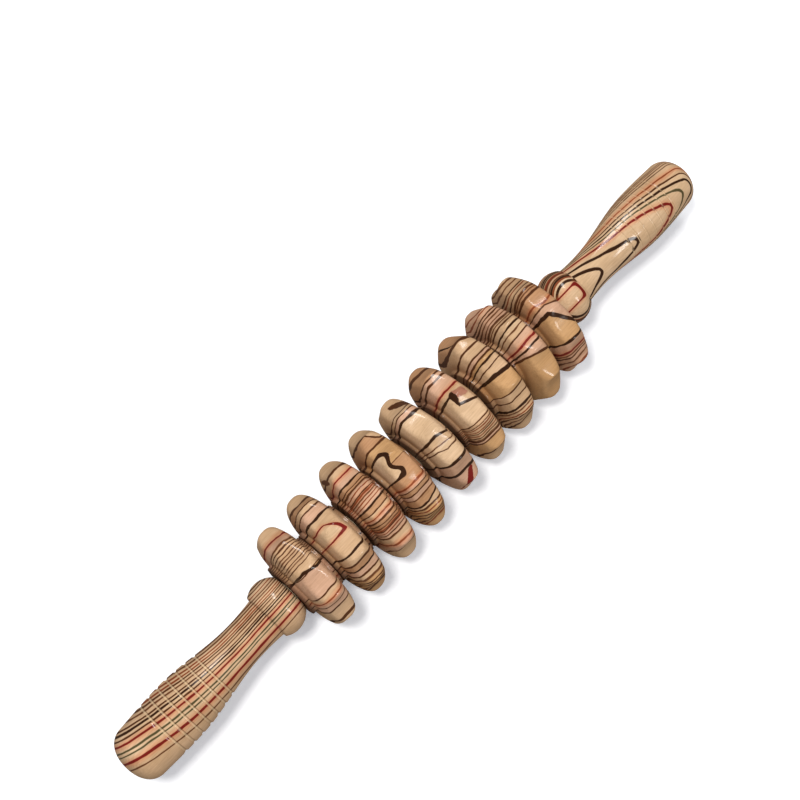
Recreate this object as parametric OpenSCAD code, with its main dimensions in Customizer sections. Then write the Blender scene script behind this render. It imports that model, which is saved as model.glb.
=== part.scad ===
// Wooden roller massager: nine loose lobed rollers on a dowel between two turned handles.
// The stick lies along X, and the origin is on the dowel's axis, midway between the handle ends.

/* [Whole tool] */
// Length over both handles
overall_l = 360; // [360:1:380]

/* [Rollers] */
// Diameter over the lobes
roller_d = 54; // [52:0.5:60]
// Length of one roller with its two collars
roller_l = 18.5; // [18:0.1:19]
// Lobes round the rim
lobe_count = 10; // [8:1:12]
// How far the bottom of a scallop lies under the top of a lobe
lobe_depth = 3; // [2:0.1:3.2]
// Radius of the cutter that scoops the scallops
scallop_r = 20; // [16:1:22]
// Width of the rim between its two shoulders
rim_w = 9.8; // [9:0.2:10]
// Radius of the rounded top of a lobe
crest_r = 3.8; // [3:0.1:4.5]
// How far a flank bulges past a straight cone
flank_bulge = 0.5; // [0.1:0.1:0.8]
// Diameter of the collars
collar_d = 26.8; // [24:0.2:28]
// Length of one collar
collar_l = 1.5; // [1.2:0.1:1.8]

/* [Handles] */
// Length of one handle
handle_l = 93.9; // [93:0.1:93.9]
// Largest diameter of the grip
grip_d = 26.4; // [25:0.2:30]
// Diameter where the rounded end meets the grip
end_d = 25; // [22:0.5:25]
// Smallest diameter of the neck
neck_d = 19.3; // [18.5:0.1:21]
// Diameter of the ball beside the rollers
ball_d = 26.7; // [26:0.1:28]
// Grip rings turned into each handle
ring_count = 7; // [1:1:8]
// Distance from one grip ring to the next
ring_pitch = 4.73; // [3:0.01:4.8]
// Depth of a grip ring
ring_depth = 0.5; // [0.2:0.1:0.7]

/* [Dowel] */
// Diameter of the dowel through the rollers
axle_d = 10; // [8:0.5:11]
// Depth of the blind socket in each handle
socket_depth = 34; // [20:1:36]
// Radial play of a roller on the dowel
bore_play = 0.08; // [0.02:0.01:0.1]

/* [Hidden] */
$fn = 96;

light_wood = [0.80, 0.66, 0.47];
warm_wood = [0.72, 0.53, 0.35];
pale_wood = [0.86, 0.76, 0.60];

edge = 0.3;          // broken edge of a turned corner
through = 1;         // how far a cutter runs past the wood
glue_gap = 1;        // room for glue under each end of the dowel
press = 0.02;        // how much tighter a socket is than the dowel, on the radius

// Points on a circular arc round c, from angle a to angle b
function arc(c, r, a, b, steps) =
    [for (k = [0 : steps]) let (t = a + (b - a) * k / steps) c + r * [cos(t), sin(t)]];

// Points on an arc from p to q that bulges by h to the left of the way from p to q
function bulge(p, q, h, steps) =
    let (d = q - p,
         n = [-d[1], d[0]] / norm(d),
         half = norm(d) / 2,
         r = (half * half + h * h) / (2 * h),
         sweep = asin(half / r),
         mid = atan2(n[1], n[0]))
    arc((p + q) / 2 - (r - h) * n, r, mid + sweep, mid - sweep, steps);

// Turns an outline of [distance along X, radius] points into a solid round the X axis
module turn(outline) {
    rotate([0, 90, 0]) rotate_extrude() polygon([for (p = outline) [p[1], p[0]]]);
}

// --- rollers ---------------------------------------------------------------------------------

roller_count = 9;
face_x = overall_l / 2 - handle_l;
end_play = 2 * face_x - roller_count * roller_l;
// How the end play is shared out at rest: before roller 1, between 1 and 2, and so on
gap_share = [0.07, 0.035, 0.21, 0.02, 0.28, 0.12, 0.14, 0.02, 0.035];
// Where one lobe of each loose roller stands, in degrees from +Y towards +Z
lobe_angle = [27, 16, 11, 10, 25, 17, 13, 6, 29];

// Sum of the shares up to and including share n
function share_sum(n) = n < 0 ? 0 : gap_share[n] + share_sum(n - 1);
// Distance from the middle of roller i to the origin
function roller_x(i) = (i + 0.5) * roller_l + share_sum(i) * end_play - face_x;

collar_r = collar_d / 2;
fillet_r = 0.8;
crest_slope = 45;
// Where the rounded top of a lobe runs into its straight slope, and where that meets the flank
crest_end = [crest_r * sin(crest_slope), roller_d / 2 - crest_r * (1 - cos(crest_slope))];
shoulder = [rim_w / 2, crest_end[1] - (rim_w / 2 - crest_end[0]) * tan(crest_slope)];
fillet = arc([roller_l / 2 - collar_l, collar_r + fillet_r], fillet_r, 190, 270, 4);
crest = arc([0, roller_d / 2 - crest_r], crest_r, 90, 90 - crest_slope, 5);

// Right half of a roller's outline, from the top of the rim to the end of the collar
half_outline = concat(
    crest,
    bulge(shoulder, fillet[0], flank_bulge, 6),
    [for (k = [1 : len(fillet) - 1]) fillet[k]],
    [[roller_l / 2 - edge, collar_r], [roller_l / 2, collar_r - edge], [roller_l / 2, 0]]
);
outline_n = len(half_outline);
left_half = [for (k = [outline_n - 1 : -1 : 1]) [-half_outline[k][0], half_outline[k][1]]];

module scallops() {
    valley_r = roller_d / 2 - lobe_depth;
    for (k = [0 : lobe_count - 1])
        rotate([(k + 0.5) * 360 / lobe_count, 0, 0])
            translate([0, valley_r + scallop_r, 0])
                rotate([0, 90, 0])
                    cylinder(r = scallop_r, h = roller_l, center = true);
}

module roller(i) {
    translate([roller_x(i), 0, 0])
        rotate([lobe_angle[i], 0, 0])
            difference() {
                turn(concat(left_half, half_outline));
                scallops();
                rotate([0, 90, 0])
                    cylinder(r = axle_d / 2 + bore_play, h = roller_l + 2 * through, center = true);
            }
}

module roller_1() { color(warm_wood) roller(0); }
module roller_2() { color(light_wood) roller(1); }
module roller_3() { color(warm_wood) roller(2); }
module roller_4() { color(warm_wood) roller(3); }
module roller_5() { color(light_wood) roller(4); }
module roller_6() { color(light_wood) roller(5); }
module roller_7() { color(warm_wood) roller(6); }
module roller_8() { color(warm_wood) roller(7); }
module roller_9() { color(warm_wood) roller(8); }

// --- handles ---------------------------------------------------------------------------------

// Stations along a handle, measured from its outer end
cap_l = 9;
widest_y = 29;
narrowest_y = 68;
step_y = 80.2;
ball_y = 85.6;
first_ring_y = 20.4;

cap_power = 2.2;     // 2 is an ellipse, and more is squarer
flare = 0.75;        // how much the neck widens towards the ball
ring_cutter_r = 0.8;
ball_r = ball_d / 2;

// Radius of the grip and neck at distance y from the outer end
function grip_r(y) =
    y < widest_y ? end_d / 2 + (grip_d - end_d) / 2 * sin(90 * (y - cap_l) / (widest_y - cap_l))
    : y < narrowest_y
        ? grip_d / 2 - (grip_d - neck_d) / 4 * (1 - cos(180 * (y - widest_y) / (narrowest_y - widest_y)))
    : neck_d / 2 + flare * pow((y - narrowest_y) / (step_y - narrowest_y), 2);

// Points along the grip and neck from distance a to distance b
function grip_points(a, b, steps) =
    [for (k = [1 : steps]) let (y = a + (b - a) * k / steps) [y, grip_r(y)]];

cap = [for (t = [0 : 10 : 90])
    [cap_l * (1 - pow(cos(t), 2 / cap_power)), end_d / 2 * pow(sin(t), 2 / cap_power)]];
handle_outline = concat(
    cap,
    grip_points(cap_l, widest_y, 6),
    grip_points(widest_y, narrowest_y, 12),
    grip_points(narrowest_y, step_y, 5),
    arc([ball_y, 0], ball_r, 180 - acos((ball_y - step_y) / ball_r), acos((handle_l - ball_y) / ball_r), 12),
    [[handle_l, 0]]
);

module grip_rings() {
    for (k = [0 : ring_count - 1]) {
        y = first_ring_y + k * ring_pitch;
        rotate([0, 90, 0])
            rotate_extrude()
                translate([grip_r(y) + ring_cutter_r - ring_depth, y]) circle(r = ring_cutter_r);
    }
}

// A handle with its outer end at the origin, running towards +X
module handle() {
    difference() {
        turn(handle_outline);
        grip_rings();
        translate([handle_l - socket_depth, 0, 0])
            rotate([0, 90, 0]) cylinder(r = axle_d / 2 - press, h = socket_depth + through);
    }
}

module left_handle() {
    color(light_wood) translate([-overall_l / 2, 0, 0]) handle();
}

module right_handle() {
    color(light_wood) mirror([1, 0, 0]) translate([-overall_l / 2, 0, 0]) handle();
}

// --- dowel -----------------------------------------------------------------------------------

module axle() {
    half_l = face_x + socket_depth - glue_gap;
    r = axle_d / 2;
    color(pale_wood)
        turn([[-half_l, 0], [-half_l, r - edge], [edge - half_l, r],
              [half_l - edge, r], [half_l, r - edge], [half_l, 0]]);
}

left_handle();
right_handle();
axle();
roller_1();
roller_2();
roller_3();
roller_4();
roller_5();
roller_6();
roller_7();
roller_8();
roller_9();
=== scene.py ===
"""Looks of the wooden roller massager: lacquered wood laminated from dyed veneers, on a pale floor.

Each loose roller and each handle is a mesh of its own that stands for its CAD node. The dowel is the
CAD node itself. Lengths written as N * MM are real millimetres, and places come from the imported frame.
"""

import math
from collections import namedtuple

import bpy
from mathutils import Matrix, Vector


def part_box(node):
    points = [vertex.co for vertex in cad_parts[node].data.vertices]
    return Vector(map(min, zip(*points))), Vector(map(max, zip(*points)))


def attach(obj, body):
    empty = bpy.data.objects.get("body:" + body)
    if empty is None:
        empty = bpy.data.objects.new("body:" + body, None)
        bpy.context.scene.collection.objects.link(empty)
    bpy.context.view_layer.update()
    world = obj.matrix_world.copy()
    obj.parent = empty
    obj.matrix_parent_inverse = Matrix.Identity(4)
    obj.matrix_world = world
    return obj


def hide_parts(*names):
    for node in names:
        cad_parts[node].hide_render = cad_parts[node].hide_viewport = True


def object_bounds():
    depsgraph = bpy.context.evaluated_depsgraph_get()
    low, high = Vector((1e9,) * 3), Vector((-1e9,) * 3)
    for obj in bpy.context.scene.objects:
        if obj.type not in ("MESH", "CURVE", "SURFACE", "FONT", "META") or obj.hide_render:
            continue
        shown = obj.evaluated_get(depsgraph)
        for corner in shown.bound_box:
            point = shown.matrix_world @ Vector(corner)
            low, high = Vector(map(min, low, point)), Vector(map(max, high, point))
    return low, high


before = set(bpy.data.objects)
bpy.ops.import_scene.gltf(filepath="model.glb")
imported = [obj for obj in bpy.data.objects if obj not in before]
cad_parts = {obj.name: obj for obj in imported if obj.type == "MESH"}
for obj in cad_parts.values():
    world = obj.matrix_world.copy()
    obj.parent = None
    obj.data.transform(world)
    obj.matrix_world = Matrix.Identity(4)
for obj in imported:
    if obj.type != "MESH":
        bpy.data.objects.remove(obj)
cad_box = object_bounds()

MM = 0.001
ROLLERS = [name for name in sorted(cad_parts) if name.startswith("roller_")]
STICK_AXIS = Vector((1, 0, 0))


def reach(node):
    """Largest distance of a CAD node's surface from the dowel's axis."""
    return max(math.hypot(v.co.y, v.co.z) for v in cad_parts[node].data.vertices)


def middle_x(node):
    """Middle of a CAD node along the stick."""
    low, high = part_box(node)
    return (low.x + high.x) / 2


def length_x(node):
    """Length of a CAD node along the stick."""
    low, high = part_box(node)
    return high.x - low.x


ROLLER_R = reach(ROLLERS[0])
ROLLER_L = length_x(ROLLERS[0])
AXLE_R = reach("axle")
HANDLE_L = length_x("left_handle")
LOBES = 10

# --- where the camera stands, and the two directions that lay out the wood's pattern --------------

CAMERA_AZIMUTH = math.radians(-48.15)
CAMERA_ELEVATION = math.radians(70.4)
CAMERA_DISTANCE = 536.5 * MM
CAMERA_AIM = Vector((8.0, 22.6, 0)) * MM
CAMERA_LENS = 54.9
# From the stick back to the camera
BACK = Vector((
    math.sin(CAMERA_AZIMUTH) * math.cos(CAMERA_ELEVATION),
    -math.cos(CAMERA_AZIMUTH) * math.cos(CAMERA_ELEVATION),
    math.sin(CAMERA_ELEVATION),
))
# Straight up out of the stick towards the camera, and across the stick
FACING = (BACK - STICK_AXIS * BACK.x).normalized()
ACROSS = STICK_AXIS.cross(FACING)


# --- small mesh tools -----------------------------------------------------------------------------

def arc(cx, cr, radius, start, end, steps):
    """Points (x, r) on a circular arc, angles in degrees."""
    turn = [math.radians(start + (end - start) * k / steps) for k in range(steps + 1)]
    return [(cx + radius * math.cos(t), cr + radius * math.sin(t)) for t in turn]


def smooth_min(a, b, width):
    """The smaller of a and b, with the corner between them rounded over width."""
    h = max(0.0, min(1.0, 0.5 + 0.5 * (b - a) / width))
    return b + (a - b) * h - width * h * (1 - h)


def bend(start, corner, end, steps):
    """Points between start and end on a curve that rounds off the corner between them."""
    points = []
    for k in range(1, steps):
        t = k / steps
        a, b, c = (1 - t) ** 2, 2 * t * (1 - t), t ** 2
        x = a * start[0] + b * corner[0] + c * end[0]
        r = a * start[1] + b * corner[1] + c * end[1]
        points.append((x, r))
    return points


def turned_mesh(name, outline, segments, closed, shape=None):
    """Turns an outline of (x, r) points round X, as a closed ring or a solid with two flat ends.
    shape(r, angle) may change a point's radius."""
    verts = []
    for x, r in outline:
        for k in range(segments):
            angle = math.tau * k / segments
            radius = shape(r, angle) if shape else r
            verts.append((x, radius * math.cos(angle), radius * math.sin(angle)))
    faces = []
    rings = len(outline)
    for i in range(rings if closed else rings - 1):
        j = (i + 1) % rings
        for k in range(segments):
            m = (k + 1) % segments
            faces.append((i * segments + k, j * segments + k, j * segments + m, i * segments + m))
    if not closed:
        faces.append(tuple(range(segments)))
        faces.append(tuple((rings - 1) * segments + k for k in reversed(range(segments))))
    mesh = bpy.data.meshes.new(name)
    mesh.from_pydata(verts, [], faces)
    mesh.validate()
    return mesh


def add_piece(name, mesh, body, node):
    """Makes an object of the mesh, smooth but for its sharp corners, that stands for a CAD node."""
    mesh.shade_smooth()
    mesh.set_sharp_from_angle(angle=math.radians(50))
    piece = bpy.data.objects.new(name, mesh)
    bpy.context.scene.collection.objects.link(piece)
    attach(piece, body)
    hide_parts(node)
    return piece


# --- rollers --------------------------------------------------------------------------------------

SCALLOP_R = 20 * MM
VALLEY_R = ROLLER_R - 3 * MM
CREST_R = 5.2 * MM
CREST_SLOPE = 45
RIM_HALF = 4.9 * MM
COLLAR_R = 13.4 * MM
COLLAR_L = 1.5 * MM
COLLAR_EDGE_R = 0.45 * MM
FILLET_R = 0.8 * MM
FLANK_BULGE = 0.8 * MM
FLANK_STEPS = 15
# How wide the corner between a scallop and the turned outline is rounded over
ROUNDING = 2.2 * MM
BORE_PLAY = 0.1 * MM
BORE_EDGE = 0.2 * MM


def lobe_angle(node):
    """Where one lobe of a CAD roller stands, from the direction of its farthest points."""
    points = [vertex.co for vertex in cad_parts[node].data.vertices]
    far = [p for p in points if math.hypot(p.y, p.z) > ROLLER_R * 0.9999]
    turns = [LOBES * math.atan2(p.z, p.y) for p in far]
    return math.atan2(sum(map(math.sin, turns)), sum(map(math.cos, turns))) / LOBES


def scallop_radius(angle):
    """Distance from the axis to the scooped rim, at an angle measured from a lobe."""
    step = math.tau / LOBES
    offset = (angle % step) - step / 2
    centre = VALLEY_R + SCALLOP_R
    across = centre * math.sin(offset)
    return centre * math.cos(offset) - math.sqrt(SCALLOP_R ** 2 - across ** 2)


def roller_outline(bore_r, relief):
    """Outline of a roller from one end of its bore over the rim to the other end, as (x, r) points.
    relief is how far the collar's face falls back at its edge."""
    slope = math.radians(CREST_SLOPE)
    crest_x = CREST_R * math.sin(slope)
    crest_r = ROLLER_R - CREST_R * (1 - math.cos(slope))
    crest = arc(0, ROLLER_R - CREST_R, CREST_R, 90, 90 - CREST_SLOPE, 9)
    fillet = arc(ROLLER_L / 2 - COLLAR_L, COLLAR_R + FILLET_R, FILLET_R, 190, 268, 5)
    shoulder_r = crest_r - (RIM_HALF - crest_x)
    foot_x, foot_r = fillet[0]
    flank = []
    for k in range(3, FLANK_STEPS):
        t = k / FLANK_STEPS
        bulge = FLANK_BULGE * math.sin(math.pi * t)
        x = RIM_HALF + (foot_x - RIM_HALF) * t
        flank.append((x + bulge, shoulder_r + (foot_r - shoulder_r) * t))
    shoulder = bend(crest[-1], (RIM_HALF + 0.25 * MM, shoulder_r - 0.1 * MM), flank[0], 7)
    edge_x = ROLLER_L / 2 - relief - COLLAR_EDGE_R
    edge = arc(edge_x, COLLAR_R - COLLAR_EDGE_R, COLLAR_EDGE_R, 90, 0, 4)
    collar = [(edge_x - COLLAR_EDGE_R, COLLAR_R)] + edge
    face = [
        (ROLLER_L / 2 - relief * 0.55, (COLLAR_R + bore_r) / 2),
        (ROLLER_L / 2 - BORE_EDGE, bore_r + BORE_EDGE),
        (ROLLER_L / 2 - 3 * BORE_EDGE, bore_r),
    ]
    half = crest + shoulder + flank + fillet + collar + face
    return [(-x, r) for x, r in reversed(half)] + half[1:]


def roller_mesh(node, yaw, pitch):
    """A lobed roller. Its small lean, in degrees about Z and Y, is the slack of its bore on the dowel."""
    lean = math.radians(math.hypot(yaw, pitch))
    bore_r = AXLE_R + BORE_PLAY + ROLLER_L / 2 * math.tan(lean)
    face_relief = COLLAR_R * math.tan(lean)
    lobe = lobe_angle(node)

    def shape(r, angle):
        if r < VALLEY_R - 2 * MM:
            return r
        return smooth_min(r, scallop_radius(angle - lobe), ROUNDING)

    mesh = turned_mesh(node + "_wood", roller_outline(bore_r, face_relief), 300, True, shape)
    turn = Matrix.Rotation(math.radians(yaw), 4, "Z") @ Matrix.Rotation(math.radians(pitch), 4, "Y")
    mesh.transform(Matrix.Translation((middle_x(node), 0, 0)) @ turn)
    return mesh


# --- handles --------------------------------------------------------------------------------------

# Places along a handle, measured from its outer end
CAP_L = 9 * MM
FIRST_RING = 20.4 * MM
WIDEST = 29 * MM
NARROWEST = 68 * MM
STEP = 80.2 * MM
BALL_AT = 86.0 * MM
# Its radii, and how much the neck widens towards the ball
END_R = 12.5 * MM
GRIP_R = 13.2 * MM
NECK_R = 9.2 * MM
BALL_R = reach("left_handle") - 0.15 * MM
FLARE = 0.75 * MM
# Half the length that the ball would have if its ends weren't cut off
BALL_HALF = 11.2 * MM
# The shape of the rounded end: 2 is an ellipse, and more is squarer
CAP_POWER = 2.2
SOCKET_L = 34 * MM
SOCKET_PLAY = 0.03 * MM
RING_COUNT = 7
RING_PITCH = 4.73 * MM
RING_CUTTER_R = 0.8 * MM
RINGS_END = FIRST_RING + (RING_COUNT - 1) * RING_PITCH
# Distance between outline points, across the rings and elsewhere
FINE = 0.13 * MM
COARSE = 1.1 * MM


def ring_cut(y, depth):
    """How deep the nearest grip ring cuts the surface at distance y from the outer end."""
    nearest = max(0, min(RING_COUNT - 1, round((y - FIRST_RING) / RING_PITCH)))
    off = abs(y - FIRST_RING - nearest * RING_PITCH)
    if off >= RING_CUTTER_R:
        return 0.0
    return max(0.0, math.sqrt(RING_CUTTER_R ** 2 - off ** 2) - (RING_CUTTER_R - depth))


def grip_radius(y):
    """Radius of the grip and neck at distance y from the handle's outer end, without its rings."""
    if y < WIDEST:
        swelling = math.sin(math.pi / 2 * (y - CAP_L) / (WIDEST - CAP_L))
        return END_R + (GRIP_R - END_R) * swelling
    if y < NARROWEST:
        waist = 1 - math.cos(math.pi * (y - WIDEST) / (NARROWEST - WIDEST))
        return GRIP_R - (GRIP_R - NECK_R) / 2 * waist
    return NECK_R + FLARE * ((y - NARROWEST) / (STEP - NARROWEST)) ** 2


def cap_outline(steps):
    """The rounded outer end, from just off its tip to the start of the grip."""
    points = []
    for k in range(1, steps + 1):
        t = math.radians(90 * k / steps)
        y = CAP_L * (1 - math.cos(t) ** (2 / CAP_POWER))
        points.append((y, END_R * math.sin(t) ** (2 / CAP_POWER)))
    return points


def ball_outline(steps):
    """The ball, from the step where the neck ends to just short of the handle's flat face."""
    start = math.acos((STEP - BALL_AT) / BALL_HALF)
    end = math.acos((HANDLE_L - 0.1 * MM - BALL_AT) / BALL_HALF)
    points = []
    for k in range(steps + 1):
        t = start + (end - start) * k / steps
        points.append((BALL_AT + BALL_HALF * math.cos(t), BALL_R * math.sin(t)))
    return points


def handle_outline(ring_depth):
    """Outline of a handle from its outer end to the bottom of its socket, as (distance, r) points."""
    points = cap_outline(16)
    y = CAP_L + 1 * MM
    while y < STEP - 0.3 * MM:
        points.append((y, grip_radius(y) - ring_cut(y, ring_depth)))
        y += FINE if FIRST_RING - 1.2 * MM < y < RINGS_END + 1.2 * MM else COARSE
    points.append((STEP - 0.25 * MM, grip_radius(STEP)))
    points += ball_outline(26)
    face_r = points[-1][1]
    socket_r = AXLE_R + SOCKET_PLAY
    points += [
        (HANDLE_L - 0.05 * MM, face_r - 0.15 * MM),
        (HANDLE_L, face_r - 0.5 * MM),
        (HANDLE_L, socket_r),
        (HANDLE_L - SOCKET_L, socket_r),
        (HANDLE_L - SOCKET_L, 0.3 * MM),
    ]
    return points


def handle_mesh(node):
    """A turned handle with its ball towards the rollers."""
    low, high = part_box(node)
    outline = handle_outline(HANDLE_WOOD[node]["ring_depth"])
    if middle_x(node) < 0:
        outline = [(low.x + y, r) for y, r in outline]
    else:
        outline = [(high.x - y, r) for y, r in reversed(outline)]
    return turned_mesh(node + "_wood", outline, 128, False)


# --- node helpers ---------------------------------------------------------------------------------

class Wood:
    """Builds the nodes of one procedural material. Sockets and plain numbers mix in its calls."""

    def __init__(self, name):
        self.material = bpy.data.materials.new(name)
        self.material.use_nodes = True
        self.tree = self.material.node_tree
        self.tree.nodes.clear()

    def node(self, kind, inputs, **settings):
        """Adds a node, links the inputs that are sockets and sets the others."""
        made = self.tree.nodes.new(kind)
        for key, value in settings.items():
            setattr(made, key, value)
        for key, value in inputs.items():
            if isinstance(value, bpy.types.NodeSocket):
                self.tree.links.new(value, made.inputs[key])
            else:
                made.inputs[key].default_value = value
        return made

    def math(self, operation, *values):
        return self.node("ShaderNodeMath", dict(enumerate(values)), operation=operation).outputs[0]

    def dot(self, vector, direction):
        inputs = {0: vector, 1: tuple(direction)}
        return self.node("ShaderNodeVectorMath", inputs, operation="DOT_PRODUCT").outputs["Value"]

    def scaled(self, vector, factors):
        inputs = {0: vector, 1: factors}
        return self.node("ShaderNodeVectorMath", inputs, operation="MULTIPLY").outputs[0]

    def length(self, vector):
        return self.node("ShaderNodeVectorMath", {0: vector}, operation="LENGTH").outputs["Value"]

    def mix(self, factor, a, b, blend="MIX"):
        made = self.node("ShaderNodeMix", {0: factor}, data_type="RGBA", blend_type=blend)
        for index, value in ((6, a), (7, b)):
            if isinstance(value, bpy.types.NodeSocket):
                self.tree.links.new(value, made.inputs[index])
            else:
                made.inputs[index].default_value = (*value, 1)
        return made.outputs[2]

    def tinted(self, colour, tint):
        return self.mix(1.0, colour, tint, "MULTIPLY")

    def noise(self, vector, scale, detail=2.0, offset=0.0):
        inputs = {"Vector": vector, "W": offset, "Scale": scale, "Detail": detail}
        return self.node("ShaderNodeTexNoise", inputs, noise_dimensions="4D").outputs[0]

    def ramp(self, value, low, high, to_low=0.0, to_high=1.0):
        """Eases from to_low at low to to_high at high, and stays level outside them."""
        inputs = {0: value, 1: low, 2: high, 3: to_low, 4: to_high}
        return self.node("ShaderNodeMapRange", inputs, interpolation_type="SMOOTHSTEP").outputs[0]

    def hash(self, value):
        """A random number from 0 to 1 that is always the same for the same value."""
        return self.node("ShaderNodeTexWhiteNoise", {"W": value}, noise_dimensions="1D").outputs["Value"]

    def line(self, distance, half_width, soft=0.09):
        """1 within half_width of a line, falling to 0 over a soft edge."""
        return self.ramp(self.math("ABSOLUTE", distance), half_width + soft, half_width - soft)

    def surfaced(self, inputs):
        """The material, finished with a Principled shader that has these inputs."""
        shader = self.node("ShaderNodeBsdfPrincipled", inputs)
        self.node("ShaderNodeOutputMaterial", {"Surface": shader.outputs[0]})
        return self.material


# --- the laminated wood ---------------------------------------------------------------------------

# The dyes of the veneers, and the woods between them
INK = {
    "black": (0.034, 0.012, 0.004),
    "brown": (0.080, 0.026, 0.008),
    "umber": (0.130, 0.048, 0.018),
    "red": (0.180, 0.012, 0.008),
    "rust": (0.230, 0.055, 0.018),
    "olive": (0.085, 0.070, 0.030),
    "rose": (0.380, 0.170, 0.110),
}
BLEED = (0.58, 0.17, 0.065)
TAN = (0.570, 0.375, 0.220)
PALE = (0.620, 0.430, 0.265)
PINK = (0.570, 0.345, 0.225)
GOLD = (0.515, 0.300, 0.138)
WARM = (0.460, 0.250, 0.128)


def stepped(wood, height, along, level, rise=0, at=0, run=1, slope=0):
    """Signed distance from a veneer that lies at level, and at level + rise past the place at, with a
    slant as long as run between. slope is its slope beyond that place."""
    if slope:
        past = wood.math("MAXIMUM", wood.math("SUBTRACT", along, at), 0)
        height = wood.math("MULTIPLY_ADD", past, -slope, height)
    if not rise:
        return wood.math("SUBTRACT", height, level)
    sign = math.copysign(1, rise)
    pitch = abs(rise) / run
    above = wood.math("MULTIPLY", wood.math("SUBTRACT", height, level), sign)
    beyond = wood.math("SUBTRACT", above, abs(rise))
    line = wood.math("MULTIPLY_ADD", along, -pitch, pitch * (at - run / 2))
    slant = wood.math("DIVIDE", wood.math("ADD", above, line), math.hypot(1, pitch))
    distance = wood.math("MINIMUM", above, wood.math("MAXIMUM", beyond, slant))
    return wood.math("MULTIPLY", distance, sign)


def bled(wood, colour, distance, strength):
    """Red dye that has crept into the wood beside a veneer."""
    near = wood.ramp(wood.math("ABSOLUTE", distance), 2.2, 0.2, 0, strength)
    return wood.mix(near, colour, BLEED)


def veneer_lines(wood, first, height, along, swell, veneers):
    """Paints the wood between the veneers, then the veneers themselves. Heights are in millimetres."""
    colour = wood.mix(0.0, first, first)
    strokes = []
    for level, thick, ink, wood_after, *step in veneers:
        distance = stepped(wood, height, along, level, *step)
        colour = wood.mix(wood.ramp(distance, -0.1, 0.1), colour, wood_after)
        strokes.append((wood.math("MULTIPLY", distance, swell), thick, ink))
    for distance, thick, ink in strokes:
        if ink in ("red", "rust"):
            colour = bled(wood, colour, distance, 0.5)
    for distance, thick, ink in strokes:
        colour = wood.mix(wood.line(distance, thick * 0.72, 0.12), colour, INK[ink])
    return colour


def fine_veneers(wood, colour, height, swell, low, high, count, seed):
    """Paints a bundle of thin dark veneers, unevenly spaced, between two heights in millimetres."""
    pitch = (high - low) / count
    place = wood.math("MULTIPLY_ADD", height, 1 / pitch, -low / pitch)
    cell = wood.math("FLOOR", place)
    inside = wood.math("SUBTRACT", place, cell)
    chance = wood.hash(wood.math("ADD", cell, seed))
    centre = wood.math("MULTIPLY_ADD", chance, 0.44, 0.28)
    distance = wood.math("MULTIPLY", wood.math("SUBTRACT", inside, centre), pitch)
    above_low, below_high = wood.math("GREATER_THAN", height, low), wood.math("LESS_THAN", height, high)
    zone = wood.math("MULTIPLY", above_low, below_high)
    shade = wood.hash(wood.math("ADD", cell, seed + 31.7))
    tint = wood.mix(shade, (0.86, 0.82, 0.80), (1.06, 1.03, 1.0))
    colour = wood.mix(zone, colour, wood.tinted(colour, tint))
    ink = wood.mix(wood.math("GREATER_THAN", shade, 0.72), INK["brown"], INK["rust"])
    ink = wood.mix(wood.math("LESS_THAN", shade, 0.25), ink, INK["umber"])
    shown = wood.line(wood.math("MULTIPLY", distance, swell), 0.14 + 0.11 * pitch, 0.12)
    return wood.mix(wood.math("MULTIPLY", shown, zone), colour, ink)


# A veneer that surfaces as a loop open towards -X: two lines at the heights low and high, joined at the
# place end by a line that leans by lean and sways by wave, length times as long as the loop is high.
Loop = namedtuple("Loop", "low high end lean wave length rounding ink thickness inside")

# A veneer cut so flat that it shows as a patch round a height and place. It is an ellipse at power 2, and
# squarer at a higher power.
Patch = namedtuple("Patch", "height place half_height half_width lean ink power")


def surfaced_loop(wood, colour, height, along, front, loop):
    """Paints a loop and the wood inside it where front is 1."""
    span = loop.high - loop.low
    away = wood.math("SUBTRACT", height, (loop.low + loop.high) / 2)
    sway = wood.math("COSINE", wood.math("MULTIPLY", away, math.tau / (span * loop.length)))
    end = wood.math("MULTIPLY_ADD", sway, -loop.wave, loop.end)
    edge = wood.math("MULTIPLY_ADD", away, loop.lean, end)
    outside = wood.math("SUBTRACT", wood.math("ABSOLUTE", away), span / 2)
    distance = wood.math("SMOOTH_MAX", outside, wood.math("SUBTRACT", along, edge), loop.rounding)
    within = wood.math("MULTIPLY", wood.ramp(distance, 0.1, -0.1), front)
    colour = wood.mix(within, colour, loop.inside)
    if loop.ink == "red":
        colour = wood.mix(front, colour, bled(wood, colour, distance, 0.4))
    # The veneer is cut flattest, so looks thickest, at the closed end of the loop
    thinner = wood.ramp(along, loop.end - 4.0, loop.end - 0.2, 2.2, 1.0)
    stroke = wood.line(wood.math("MULTIPLY", distance, thinner), loop.thickness / 2, 0.12)
    return wood.mix(wood.math("MULTIPLY", stroke, front), colour, INK[loop.ink])


def surfaced_patch(wood, colour, height, along, front, ragged, patch):
    """Paints a patch with a ragged edge where front is 1."""
    beside = wood.math("SUBTRACT", along, patch.place)
    over = wood.math("MULTIPLY_ADD", beside, -patch.lean, wood.math("SUBTRACT", height, patch.height))
    reach_up = wood.math("ABSOLUTE", wood.math("DIVIDE", over, patch.half_height))
    reach_side = wood.math("ABSOLUTE", wood.math("DIVIDE", beside, patch.half_width))
    up = wood.math("POWER", reach_up, patch.power)
    side = wood.math("POWER", reach_side, patch.power)
    distance = wood.math("POWER", wood.math("ADD", up, side), 1 / patch.power)
    shown = wood.ramp(wood.math("ADD", distance, ragged), 1.10, 0.94)
    return wood.mix(wood.math("MULTIPLY", shown, front), colour, INK[patch.ink])


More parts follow.
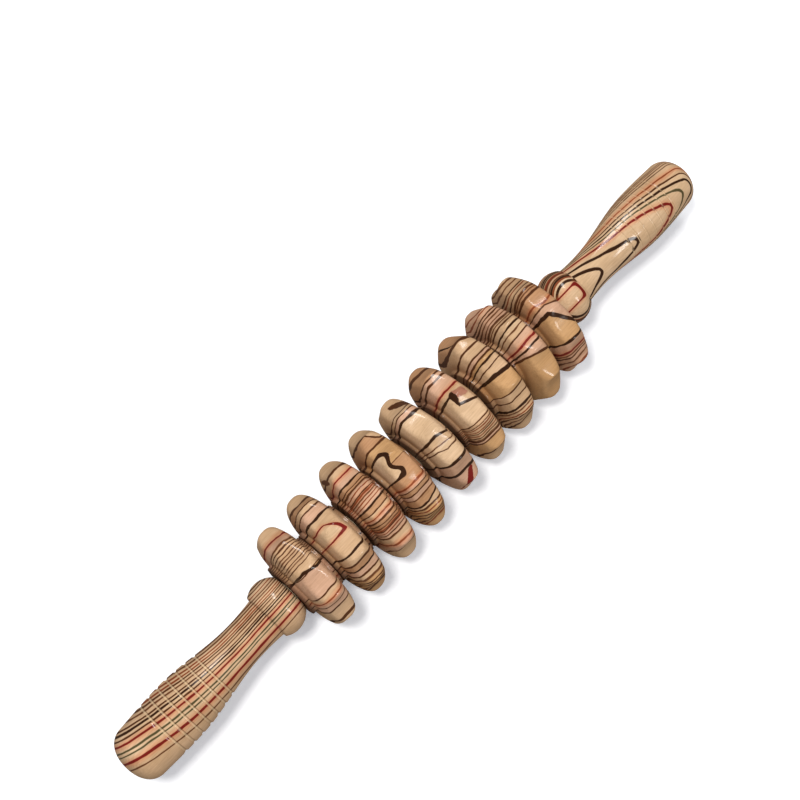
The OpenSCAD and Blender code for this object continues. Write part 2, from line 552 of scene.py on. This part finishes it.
def lacquered(wood, colour, point, seed):
    """Grain, pores and mottling over the veneers, then a glossy clear coat."""
    fibres = wood.noise(wood.scaled(point, (0.10, 1.5, 1.5)), 1.0, 3, seed)
    mottle = wood.noise(point, 0.09, 2, seed + 5)
    pores = wood.noise(wood.scaled(point, (0.45, 2.6, 2.6)), 1.0, 1, seed + 9)
    grain = wood.mix(wood.ramp(fibres, 0.3, 0.7), (0.90, 0.88, 0.86), (1.07, 1.07, 1.07))
    clouds = wood.mix(wood.ramp(mottle, 0.3, 0.7), (0.92, 0.89, 0.85), (1.06, 1.06, 1.08))
    colour = wood.tinted(wood.tinted(colour, grain), clouds)
    colour = wood.mix(wood.ramp(pores, 0.66, 0.76, 0, 0.35), colour, (0.16, 0.07, 0.03))
    relief = wood.math("MULTIPLY_ADD", fibres, 0.5, wood.math("MULTIPLY", mottle, 1.2))
    bump = wood.node("ShaderNodeBump", {"Strength": 0.25, "Distance": 0.12 * MM, "Height": relief})
    # The coat fades where it is seen at a glancing angle, so the pale room doesn't veil the dark veneers
    grazing = wood.node("ShaderNodeLayerWeight", {"Blend": 0.5}).outputs["Facing"]
    return wood.surfaced({
        "Base Color": colour,
        "Roughness": wood.ramp(fibres, 0.2, 0.8, 0.48, 0.62),
        "Specular IOR Level": 0.05,
        "Normal": bump.outputs[0],
        "Coat Weight": wood.ramp(grazing, 0.45, 0.9, 1.0, 0.1),
        "Coat Roughness": wood.ramp(mottle, 0.3, 0.7, 0.12, 0.20),
        "Coat IOR": 1.45,
    })


def millimetre_point(wood, centre_x):
    """The surface point in millimetres from the piece's middle, which rides with the piece."""
    place = wood.node("ShaderNodeTexCoord", {}).outputs["Object"]
    inputs = {0: place, 1: (-centre_x, 0, 0)}
    moved = wood.node("ShaderNodeVectorMath", inputs, operation="ADD").outputs[0]
    return wood.scaled(moved, (1 / MM,) * 3)


def waver(wood, point, seed, size):
    """Slow and quick wandering of the veneers, in millimetres."""
    slow = wood.math("MULTIPLY_ADD", wood.noise(point, 0.07, 1, seed), 2.6 * size, -1.3 * size)
    quick = wood.math("MULTIPLY_ADD", wood.noise(point, 0.22, 2, seed + 3), 1.0 * size, -0.5 * size)
    return wood.math("ADD", slow, quick)


# Each roller's wood from its upper left side down, in millimetres from its middle. "lean" is its yaw and
# pitch on the dowel in degrees, and "first" the wood before its first veneer. A veneer is (height,
# thickness, ink, wood that follows), then any step (rise, place, run) and slope past it. A bundle of fine
# veneers is (from, to, count). Loops and patches surface on the side that faces the camera.
ROLLER_WOOD = {
    "roller_1": {
        "lean": (-0.5, 0), "first": TAN,
        "veneers": [
            (-20.3, 0.6, "red", PINK), (-16.5, 0.3, "umber", TAN),
            (-4.4, 0.4, "brown", GOLD, 3.0, -7.6, 4), (-2.4, 1.0, "black", PINK, 2.0, 0.5, 6),
            (9.6, 0.5, "brown", TAN), (12.6, 0.5, "rust", PINK), (15.0, 0.4, "brown", PINK),
            (17.6, 0.5, "brown", TAN), (22.6, 0.8, "brown", TAN),
        ],
        "bundles": [(-17.5, -5.6, 9)],
    },
    "roller_2": {
        "lean": (-0.3, 0), "first": TAN,
        "veneers": [
            (-22.6, 0.5, "brown", WARM), (-20.4, 0.4, "brown", TAN), (-18.3, 0.5, "brown", PINK),
            (-14.3, 0.8, "black", TAN), (6.2, 0.8, "black", TAN), (10.6, 0.7, "brown", WARM),
            (13.8, 0.7, "black", PINK), (16.9, 0.6, "brown", TAN), (18.9, 0.4, "umber", GOLD),
        ],
        "bundles": [(18.6, 25.0, 5)],
        "loops": [
            Loop(low=-10.0, high=-2.4, end=1.6, lean=0.72, wave=-1.0, length=1.6, rounding=1.0,
                 ink="red", thickness=1.5, inside=PALE),
        ],
    },
    "roller_3": {
        "lean": (-1.5, 0), "first": TAN,
        "veneers": [
            (-21.4, 0.6, "brown", TAN), (-18.2, 0.5, "red", PINK), (-14.6, 0.6, "black", WARM),
            (-11.0, 0.7, "brown", PINK), (-6.8, 0.6, "rust", PINK), (-1.2, 0.8, "black", WARM),
            (1.6, 0.5, "brown", TAN), (3.8, 0.5, "rust", PINK), (5.6, 0.6, "brown", WARM),
            (9.8, 0.5, "rust", PINK), (14.8, 0.4, "umber", TAN), (18.4, 0.5, "rust", PINK),
            (21.4, 0.4, "umber", TAN),
        ],
        "bundles": [(-13.0, -2.0, 7), (5.4, 14.8, 7)],
        "patches": [
            Patch(height=-21.8, place=-5.6, half_height=1.6, half_width=0.5,
                  lean=0.7, ink="umber", power=2),
        ],
    },
    "roller_4": {
        "lean": (-1.5, 0), "first": TAN,
        "veneers": [
            (-22.0, 0.6, "brown", WARM, 4.0, 2.0, 4.0), (-16.8, 0.7, "brown", GOLD),
            (-6.7, 0.3, "umber", WARM), (5.0, 0.7, "rust", PINK), (7.0, 0.4, "brown", WARM),
            (9.0, 0.5, "brown", PINK), (11.4, 0.5, "umber", WARM),
            (15.6, 0.7, "black", TAN, -1.6, 1.5, 6), (17.2, 0.5, "brown", GOLD),
        ],
        "bundles": [(16.6, 24.5, 6)],
        "loops": [
            Loop(low=-12.8, high=-0.2, end=-2.0, lean=0.05, wave=1.2, length=0.72, rounding=1.2,
                 ink="black", thickness=2.3, inside=PALE),
        ],
        "patches": [
            Patch(height=-24.2, place=-5.6, half_height=0.5, half_width=1.2,
                  lean=-0.6, ink="black", power=2),
        ],
    },
    "roller_5": {
        "lean": (1.8, -3.2), "first": TAN,
        "veneers": [
            (-18.8, 0.4, "brown", TAN), (-17.2, 0.4, "brown", PINK), (-14.8, 0.8, "black", PALE),
            (-1.2, 0.9, "black", TAN, 2.0, 1.5, 6), (2.4, 0.5, "umber", PALE, 1.6, 0.0, 8),
            (4.4, 0.5, "brown", PALE, 1.8, -3.0, 4), (12.0, 0.9, "black", PINK),
            (18.2, 0.9, "black", PINK),
        ],
        "bundles": [],
        "patches": [
            Patch(height=-20.9, place=1.6, half_height=1.4, half_width=4.4,
                  lean=0.42, ink="brown", power=2),
            Patch(height=22.3, place=-0.6, half_height=1.5, half_width=3.8,
                  lean=-0.75, ink="red", power=2),
        ],
    },
    "roller_6": {
        "lean": (0.5, -2.4), "first": WARM,
        "veneers": [
            (-23.6, 0.7, "brown", WARM), (-19.2, 0.5, "brown", PINK),
            (-17.0, 0.7, "brown", PINK), (-10.9, 0.7, "red", TAN),
            (-7.6, 1.0, "black", PALE, 4.6, -3.6, 0.6, 0.42), (7.4, 0.3, "umber", TAN),
            (16.0, 0.6, "brown", PINK), (17.4, 0.5, "brown", GOLD), (22.4, 0.6, "brown", TAN),
        ],
        "bundles": [(7.0, 16.0, 8)],
        "patches": [
            Patch(height=-6.3, place=0.6, half_height=2.2, half_width=2.8, lean=0.3, ink="rose", power=4),
            Patch(height=-6.2, place=-2.9, half_height=2.6, half_width=1.3,
                  lean=-0.6, ink="black", power=4),
        ],
    },
    "roller_7": {
        "lean": (-0.3, 1.5), "first": WARM,
        "veneers": [
            (-21.2, 1.1, "brown", TAN, 1.4, 2.6, 4), (-16.2, 0.7, "brown", TAN),
            (-11.6, 0.6, "brown", PINK), (-9.4, 0.7, "brown", GOLD), (-7.2, 0.6, "black", TAN),
            (-4.2, 0.5, "brown", TAN), (-0.8, 1.25, "black", GOLD, 2.6, 0, 14),
            (9.4, 0.5, "brown", TAN), (13.2, 0.5, "brown", TAN), (17.4, 0.8, "black", TAN),
        ],
        "bundles": [(18.2, 24.0, 5)],
        "patches": [
            Patch(height=-23.2, place=-3.6, half_height=0.6, half_width=1.6,
                  lean=0.9, ink="black", power=2),
        ],
    },
    "roller_8": {
        "lean": (-1.2, 1.5), "first": PINK,
        "veneers": [
            (-15.4, 0.5, "brown", TAN), (-12.6, 0.6, "brown", TAN), (-9.7, 0.6, "black", PALE),
            (-7.4, 0.5, "umber", TAN), (-4.4, 0.6, "brown", PINK), (-0.2, 0.7, "red", PINK),
            (2.4, 0.7, "black", PINK), (4.8, 0.9, "brown", GOLD, 3.6, 0, 11),
        ],
        "bundles": [(-24.5, -13.0, 8)],
    },
    "roller_9": {
        "lean": (-1.4, -1.5), "first": TAN,
        "veneers": [
            (-15.4, 0.7, "brown", WARM), (-12.8, 0.8, "brown", WARM),
            (-8.0, 0.7, "rust", WARM, 1.8, -2.5, 4), (-5.2, 0.6, "brown", PINK, 2.8, 1.0, 5),
            (-1.6, 1.4, "black", GOLD, 10.0, 0.2, 7.6), (13.4, 0.9, "black", PINK),
            (18.0, 0.7, "red", PINK),
        ],
        "bundles": [(-24.5, -13.2, 7), (18.4, 24.0, 4)],
    },
}


def roller_wood(node, seed):
    """A roller's wood. Its veneers stand across the stick and fan out a little towards the bore."""
    recipe = ROLLER_WOOD[node]
    wood = Wood(node + "_wood")
    point = millimetre_point(wood, middle_x(node))
    axial = wood.dot(point, STICK_AXIS)
    radius = wood.length(wood.scaled(point, (0, 1, 1)))
    fan = wood.math("SQRT", wood.math("DIVIDE", 25.0, radius))
    height = wood.math("MULTIPLY", wood.dot(point, ACROSS), fan)
    height = wood.math("ADD", height, waver(wood, point, seed, 0.95))
    along = wood.math("ADD", axial, waver(wood, point, seed + 20, 0.6))
    front = wood.math("GREATER_THAN", wood.dot(point, FACING), 0.0)
    swell = wood.ramp(wood.noise(point, 0.16, 1, seed + 40), 0.25, 0.75, 0.8, 1.45)
    ragged = wood.math("MULTIPLY_ADD", wood.noise(point, 0.5, 2, seed + 60), 0.7, -0.35)
    colour = veneer_lines(wood, recipe["first"], height, along, swell, recipe["veneers"])
    for number, (low, high, count) in enumerate(recipe["bundles"]):
        colour = fine_veneers(wood, colour, height, swell, low, high, count, seed * 7 + number * 50)
    for loop in recipe.get("loops", []):
        colour = surfaced_loop(wood, colour, height, along, front, loop)
    for patch in recipe.get("patches", []):
        colour = surfaced_patch(wood, colour, height, along, front, ragged, patch)
    # Painted shade towards the collars and in the gaps between the rollers
    colour = painted_end_shade(wood, colour, axial, radius)
    return lacquered(wood, colour, point, seed)


def painted_end_shade(wood, colour, axial, radius):
    """Paints shade on a roller towards its collars, and deep painted shade on its two faces, in the gaps
    where the rollers shade each other.
    """
    # Painted shade on the flanks near the collars
    painted_foot_shade = wood.ramp(radius, 19, 14, 0, 0.8)
    colour = wood.mix(painted_foot_shade, colour, wood.tinted(colour, (0.74, 0.64, 0.56)))
    end = ROLLER_L / 2 / MM
    # Painted deep shade on the collars' faces, in the narrow gaps between the rollers
    painted_gap_shade = wood.ramp(wood.math("ABSOLUTE", axial), end - 1.9, end - 0.2, 0, 0.75)
    return wood.mix(painted_gap_shade, colour, (0.07, 0.028, 0.015))


# Each handle's wood, with veneers, bundles and loops like a roller's.
# "facing" turns the veneers from facing the camera, in degrees, at the handle's two ends along +X.
# "slopes" is how their height changes along the handle: mm per mm, then mm at 40 mm as a square and cube.
# "swing" moves them from one side of the handle's middle to the other by as many mm each way.
# "crowding" draws them together towards +X, round the height "middle" that theirs are measured from.
# "ball_drop" lowers them on the ball, and "evenness" thins those that the surface cuts nearly flat.
HANDLE_WOOD = {
    "left_handle": {
        "facing": (90, 90), "first": PALE,
        "slopes": (-0.049, 3.3, -1.2), "middle": 3.1, "crowding": 0.2, "swing": 0.0, "ball_drop": 0.0,
        "evenness": 0.0, "ring_depth": 0.5 * MM, "ring_contrast": 0.45,
        "veneers": [
            (-6.1, 0.5, "black", PALE), (-4.7, 0.4, "brown", PALE), (-3.1, 0.5, "red", PALE),
            (-0.9, 0.45, "olive", PALE), (0.5, 0.35, "olive", PALE), (3.1, 0.65, "red", TAN),
            (5.8, 0.35, "umber", TAN),
        ],
        "bundles": [(-19.0, -6.6, 10)],
    },
    "right_handle": {
        "facing": (18, 31), "first": TAN,
        "slopes": (-0.115, 0.0, 0.0), "middle": 0.0, "crowding": 0.0, "swing": 2.2, "ball_drop": 3.0,
        "evenness": 0.7, "ring_depth": 0.15 * MM, "ring_contrast": 0.2,
        "veneers": [
            (-2.0, 0.4, "brown", TAN), (1.4, 0.45, "rust", TAN), (3.6, 0.45, "brown", PALE),
            (5.2, 0.55, "black", PALE), (6.6, 0.45, "olive", PALE), (8.3, 0.65, "red", PALE),
            (11.2, 0.75, "black", PALE), (13.5, 0.85, "black", PALE),
        ],
        "bundles": [(-7.0, -3.0, 3)], "ball_bundles": [(4.0, 12.4, 6)],
        "loops": [
            Loop(low=-1.8, high=5.6, end=-35.2, lean=0.0, wave=0.0, length=1.0, rounding=3.6,
                 ink="red", thickness=1.6, inside=PALE),
        ],
    },
}


def ring_bands(wood, along, node):
    """1 in the cut grip rings of a handle, where paler wood and a painted sheen go, and 1 along the
    rings' darker edge lines.
    """
    side = -1 if middle_x(node) < 0 else 1
    from_end = wood.math("MULTIPLY_ADD", along, -side, HANDLE_L / 2 / MM)
    turns = wood.math("DIVIDE", wood.math("SUBTRACT", from_end, FIRST_RING / MM), RING_PITCH / MM)
    nearest = wood.math("MINIMUM", wood.math("MAXIMUM", wood.math("ROUND", turns), 0), RING_COUNT - 1)
    off = wood.math("MULTIPLY", wood.math("SUBTRACT", turns, nearest), -side * RING_PITCH / MM)
    cut = wood.ramp(wood.math("ABSOLUTE", off), 0.48, 0.26)
    edge = wood.line(wood.math("SUBTRACT", off, 0.6), 0.18, 0.16)
    return cut, edge


def ball_mask(wood, along, node):
    """1 on a handle's ball and 0 on its neck and grip."""
    ball_edge = (STEP - HANDLE_L / 2) / MM
    towards_ball = wood.math("MULTIPLY", along, math.copysign(1, -middle_x(node)))
    return wood.ramp(towards_ball, ball_edge - 0.6, ball_edge + 0.9)


def through_veneers(wood, vector, along, facing):
    """The share of a vector that points straight up through a handle's veneers, which twist along it."""
    start, end = (math.radians(angle) for angle in facing)
    twist = wood.ramp(along, -28, -6, start, end)
    up = wood.math("MULTIPLY", wood.dot(vector, FACING), wood.math("COSINE", twist))
    sideways = wood.math("MULTIPLY", wood.dot(vector, ACROSS), wood.math("SINE", twist))
    return wood.math("ADD", up, sideways)


def handle_height(wood, point, along, on_ball, recipe):
    """Height of a point through a handle's veneers, which slope, bend and swing along it."""
    slope, square, cube = recipe["slopes"]
    share = wood.math("DIVIDE", along, 40)
    bent = wood.math("MULTIPLY_ADD", share, cube, square)
    bent = wood.math("MULTIPLY", bent, wood.math("MULTIPLY", share, share))
    swing = wood.math("TANH", wood.math("DIVIDE", along, 16))
    height = through_veneers(wood, point, along, recipe["facing"])
    height = wood.math("ADD", height, wood.math("MULTIPLY_ADD", along, slope, bent))
    height = wood.math("MULTIPLY_ADD", swing, -recipe["swing"], height)
    height = wood.math("MULTIPLY_ADD", on_ball, -recipe["ball_drop"], height)
    crowded = wood.math("MULTIPLY_ADD", swing, recipe["crowding"], 1)
    return wood.math("MULTIPLY", wood.math("SUBTRACT", height, recipe["middle"]), crowded)


def cut_steepness(wood, along, recipe):
    """1 where the surface cuts a handle's veneers square, falling towards 0 where it cuts them flat."""
    slope = recipe["slopes"][0]
    normal = wood.node("ShaderNodeTexCoord", {}).outputs["Normal"]
    upright = through_veneers(wood, normal, along, recipe["facing"])
    flat = wood.math("MULTIPLY_ADD", wood.dot(normal, STICK_AXIS), slope, upright)
    steep = wood.math("MULTIPLY_ADD", flat, wood.math("MULTIPLY", flat, -1), 1 + slope ** 2)
    return wood.math("SQRT", wood.math("MAXIMUM", steep, 0.01))


def handle_wood(node, seed):
    """A handle's wood. Its veneers run along the stick, and its grip rings show paler, freshly cut wood,
    brightened further by a painted sheen."""
    recipe = HANDLE_WOOD[node]
    wood = Wood(node + "_wood")
    point = millimetre_point(wood, middle_x(node))
    along = wood.dot(point, STICK_AXIS)
    on_ball = ball_mask(wood, along, node)
    height = handle_height(wood, point, along, on_ball, recipe)
    height = wood.math("ADD", height, waver(wood, point, seed, 0.35))
    thinning = wood.math("POWER", cut_steepness(wood, along, recipe), -recipe["evenness"])
    swell = wood.ramp(wood.noise(point, 0.12, 1, seed + 40), 0.25, 0.75, 0.7, 1.15)
    swell = wood.math("MULTIPLY", swell, thinning)
    colour = veneer_lines(wood, recipe["first"], height, along, swell, recipe["veneers"])
    for number, (low, high, count) in enumerate(recipe["bundles"]):
        colour = fine_veneers(wood, colour, height, swell, low, high, count, seed * 7 + number * 50)
    for low, high, count in recipe.get("ball_bundles", []):
        ball_colour = fine_veneers(wood, colour, height, 0.8, low, high, count, seed * 9)
        colour = wood.mix(on_ball, colour, ball_colour)
    front = wood.math("GREATER_THAN", wood.dot(point, FACING), 0.0)
    ball_front = wood.math("MULTIPLY", front, on_ball)
    for loop in recipe.get("loops", []):
        colour = surfaced_loop(wood, colour, wood.dot(point, ACROSS), along, ball_front, loop)
    cut, edge = ring_bands(wood, along, node)
    contrast = recipe["ring_contrast"]
    colour = wood.mix(wood.math("MULTIPLY", edge, contrast), colour, (0.14, 0.06, 0.025))
    # The rings' paler cut wood, which also stands in for a painted sheen in the grooves
    colour = wood.mix(wood.math("MULTIPLY", cut, contrast), colour, (0.72, 0.55, 0.34))
    return lacquered(wood, colour, point, seed)


def dowel_wood():
    """Plain sanded beech: straight grain along the dowel, fine flecks and no lacquer."""
    wood = Wood("dowel_wood")
    point = millimetre_point(wood, 0)
    grain = wood.noise(wood.scaled(point, (0.03, 1.1, 1.1)), 1.0, 4, 2)
    flecks = wood.noise(wood.scaled(point, (0.35, 3.0, 3.0)), 1.0, 1, 4)
    colour = wood.mix(wood.ramp(grain, 0.3, 0.7), (0.60, 0.44, 0.27), (0.72, 0.57, 0.39))
    colour = wood.mix(wood.ramp(flecks, 0.62, 0.72, 0, 0.4), colour, (0.36, 0.20, 0.10))
    bump = wood.node("ShaderNodeBump", {"Strength": 0.4, "Distance": 0.1 * MM, "Height": grain})
    return wood.surfaced({
        "Base Color": colour,
        "Roughness": wood.ramp(grain, 0.2, 0.8, 0.55, 0.7),
        "Normal": bump.outputs[0],
    })


# --- the object -----------------------------------------------------------------------------------

for number, node in enumerate(ROLLERS, 1):
    yaw, pitch = ROLLER_WOOD[node]["lean"]
    roller = add_piece(node + "_turned", roller_mesh(node, yaw, pitch), node, node)
    roller.data.materials.append(roller_wood(node, number))

for number, node in enumerate(("left_handle", "right_handle"), 21):
    handle = add_piece(node + "_turned", handle_mesh(node), "stick", node)
    handle.data.materials.append(handle_wood(node, number))

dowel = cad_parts["axle"]
dowel.data.materials.clear()
dowel.data.materials.append(dowel_wood())


# --- floor, light and camera ----------------------------------------------------------------------

FLOOR_HALF = 3.0


def floor_paint():
    """White with a faint mottle, glowing a little to the camera and more so towards the horizon."""
    paint = Wood("floor_white")
    place = paint.node("ShaderNodeTexCoord", {}).outputs["Object"]
    rays = paint.node("ShaderNodeLightPath", {})
    to_camera, to_lacquer = rays.outputs["Is Camera Ray"], rays.outputs["Is Glossy Ray"]
    white = paint.mix(paint.noise(place, 3.0, 2), (0.90, 0.90, 0.91), (0.93, 0.93, 0.93))
    # The wood sees a darker floor, so it is less washed out from below
    dimmed = paint.mix(to_lacquer, (0.42, 0.39, 0.35), (0.12, 0.10, 0.08))
    glow = paint.ramp(paint.length(place), 0.35, 1.6, 1.0, 5.0)
    return paint.surfaced({
        "Base Color": paint.mix(to_camera, dimmed, white),
        "Roughness": 0.9,
        "Specular IOR Level": 0.1,
        "Emission Color": (0.20, 0.215, 0.245, 1),
        "Emission Strength": paint.math("MULTIPLY", to_camera, glow),
    })


def pale_floor():
    """A wide matt floor under the rollers."""
    level = cad_box[0].z
    corners = [(x * FLOOR_HALF, y * FLOOR_HALF, level) for x, y in ((-1, -1), (1, -1), (1, 1), (-1, 1))]
    mesh = bpy.data.meshes.new("studio_floor")
    mesh.from_pydata(corners, [], [(0, 1, 2, 3)])
    floor = bpy.data.objects.new("studio_floor", mesh)
    bpy.context.scene.collection.objects.link(floor)
    floor.data.materials.append(floor_paint())


def softbox(name, direction, distance, size_x, size_y, watts, mirrored):
    """A rectangular area light that faces the middle of the stick. One that isn't mirrored by the
    lacquer makes no highlights."""
    data = bpy.data.lights.new(name, "AREA")
    data.shape = "RECTANGLE"
    data.size, data.size_y = size_x, size_y
    data.energy = watts
    data.color = (1.0, 0.985, 0.965)
    light = bpy.data.objects.new(name, data)
    bpy.context.scene.collection.objects.link(light)
    light.location = Vector(direction).normalized() * distance
    light.rotation_mode = "QUATERNION"
    light.rotation_quaternion = light.location.to_track_quat("Z", "Y")
    light.visible_glossy = mirrored


def sky(strength, mirrored):
    """Even pale surroundings: white to the camera, soft as light, and dim in the lacquer's mirror."""
    world = bpy.data.worlds.new("studio")
    bpy.context.scene.world = world
    world.use_nodes = True
    tree = world.node_tree
    tree.nodes.clear()
    path = tree.nodes.new("ShaderNodeLightPath")
    level = tree.nodes.new("ShaderNodeMapRange")
    level.inputs["To Min"].default_value = strength
    level.inputs["To Max"].default_value = mirrored
    bright = tree.nodes.new("ShaderNodeMath")
    bright.operation = "MAXIMUM"
    around = tree.nodes.new("ShaderNodeBackground")
    around.inputs["Color"].default_value = (0.94, 0.97, 1.0, 1)
    output = tree.nodes.new("ShaderNodeOutputWorld")
    tree.links.new(path.outputs["Is Glossy Ray"], level.inputs["Value"])
    tree.links.new(path.outputs["Is Camera Ray"], bright.inputs[0])
    tree.links.new(level.outputs[0], bright.inputs[1])
    tree.links.new(bright.outputs[0], around.inputs["Strength"])
    tree.links.new(around.outputs[0], output.inputs["Surface"])


def camera():
    """The camera that sees the stick as the photograph does."""
    data = bpy.data.cameras.new("camera")
    data.sensor_width = 36
    data.lens = CAMERA_LENS
    data.clip_start = 0.01
    made = bpy.data.objects.new("camera", data)
    bpy.context.scene.collection.objects.link(made)
    made.location = CAMERA_AIM + BACK * CAMERA_DISTANCE
    made.rotation_mode = "QUATERNION"
    made.rotation_quaternion = BACK.to_track_quat("Z", "Y")
    bpy.context.scene.camera = made


pale_floor()
sky(strength=0.24, mirrored=0.06)
softbox("softbox_top", (0.25, -0.41, 0.87), 1.0, 0.6, 1.1, watts=2.1, mirrored=False)
# The key light stands to the upper left of the camera, so the stick's shadow stays close beside it
softbox("softbox_key", BACK * 0.97 - ACROSS * 0.25, 0.9, 0.15, 0.15, watts=5.3, mirrored=False)
# Two windows that the lacquer mirrors, one high and one low on each roller
window = STICK_AXIS * 0.28 + FACING * 0.75
softbox("window_left", window - ACROSS * 0.60, 0.9, 0.16, 0.40, watts=2.4, mirrored=True)
softbox("window_right", window + ACROSS * 0.60, 0.9, 0.12, 0.30, watts=1.3, mirrored=True)
camera()
bpy.context.scene.view_settings.view_transform = "Standard"
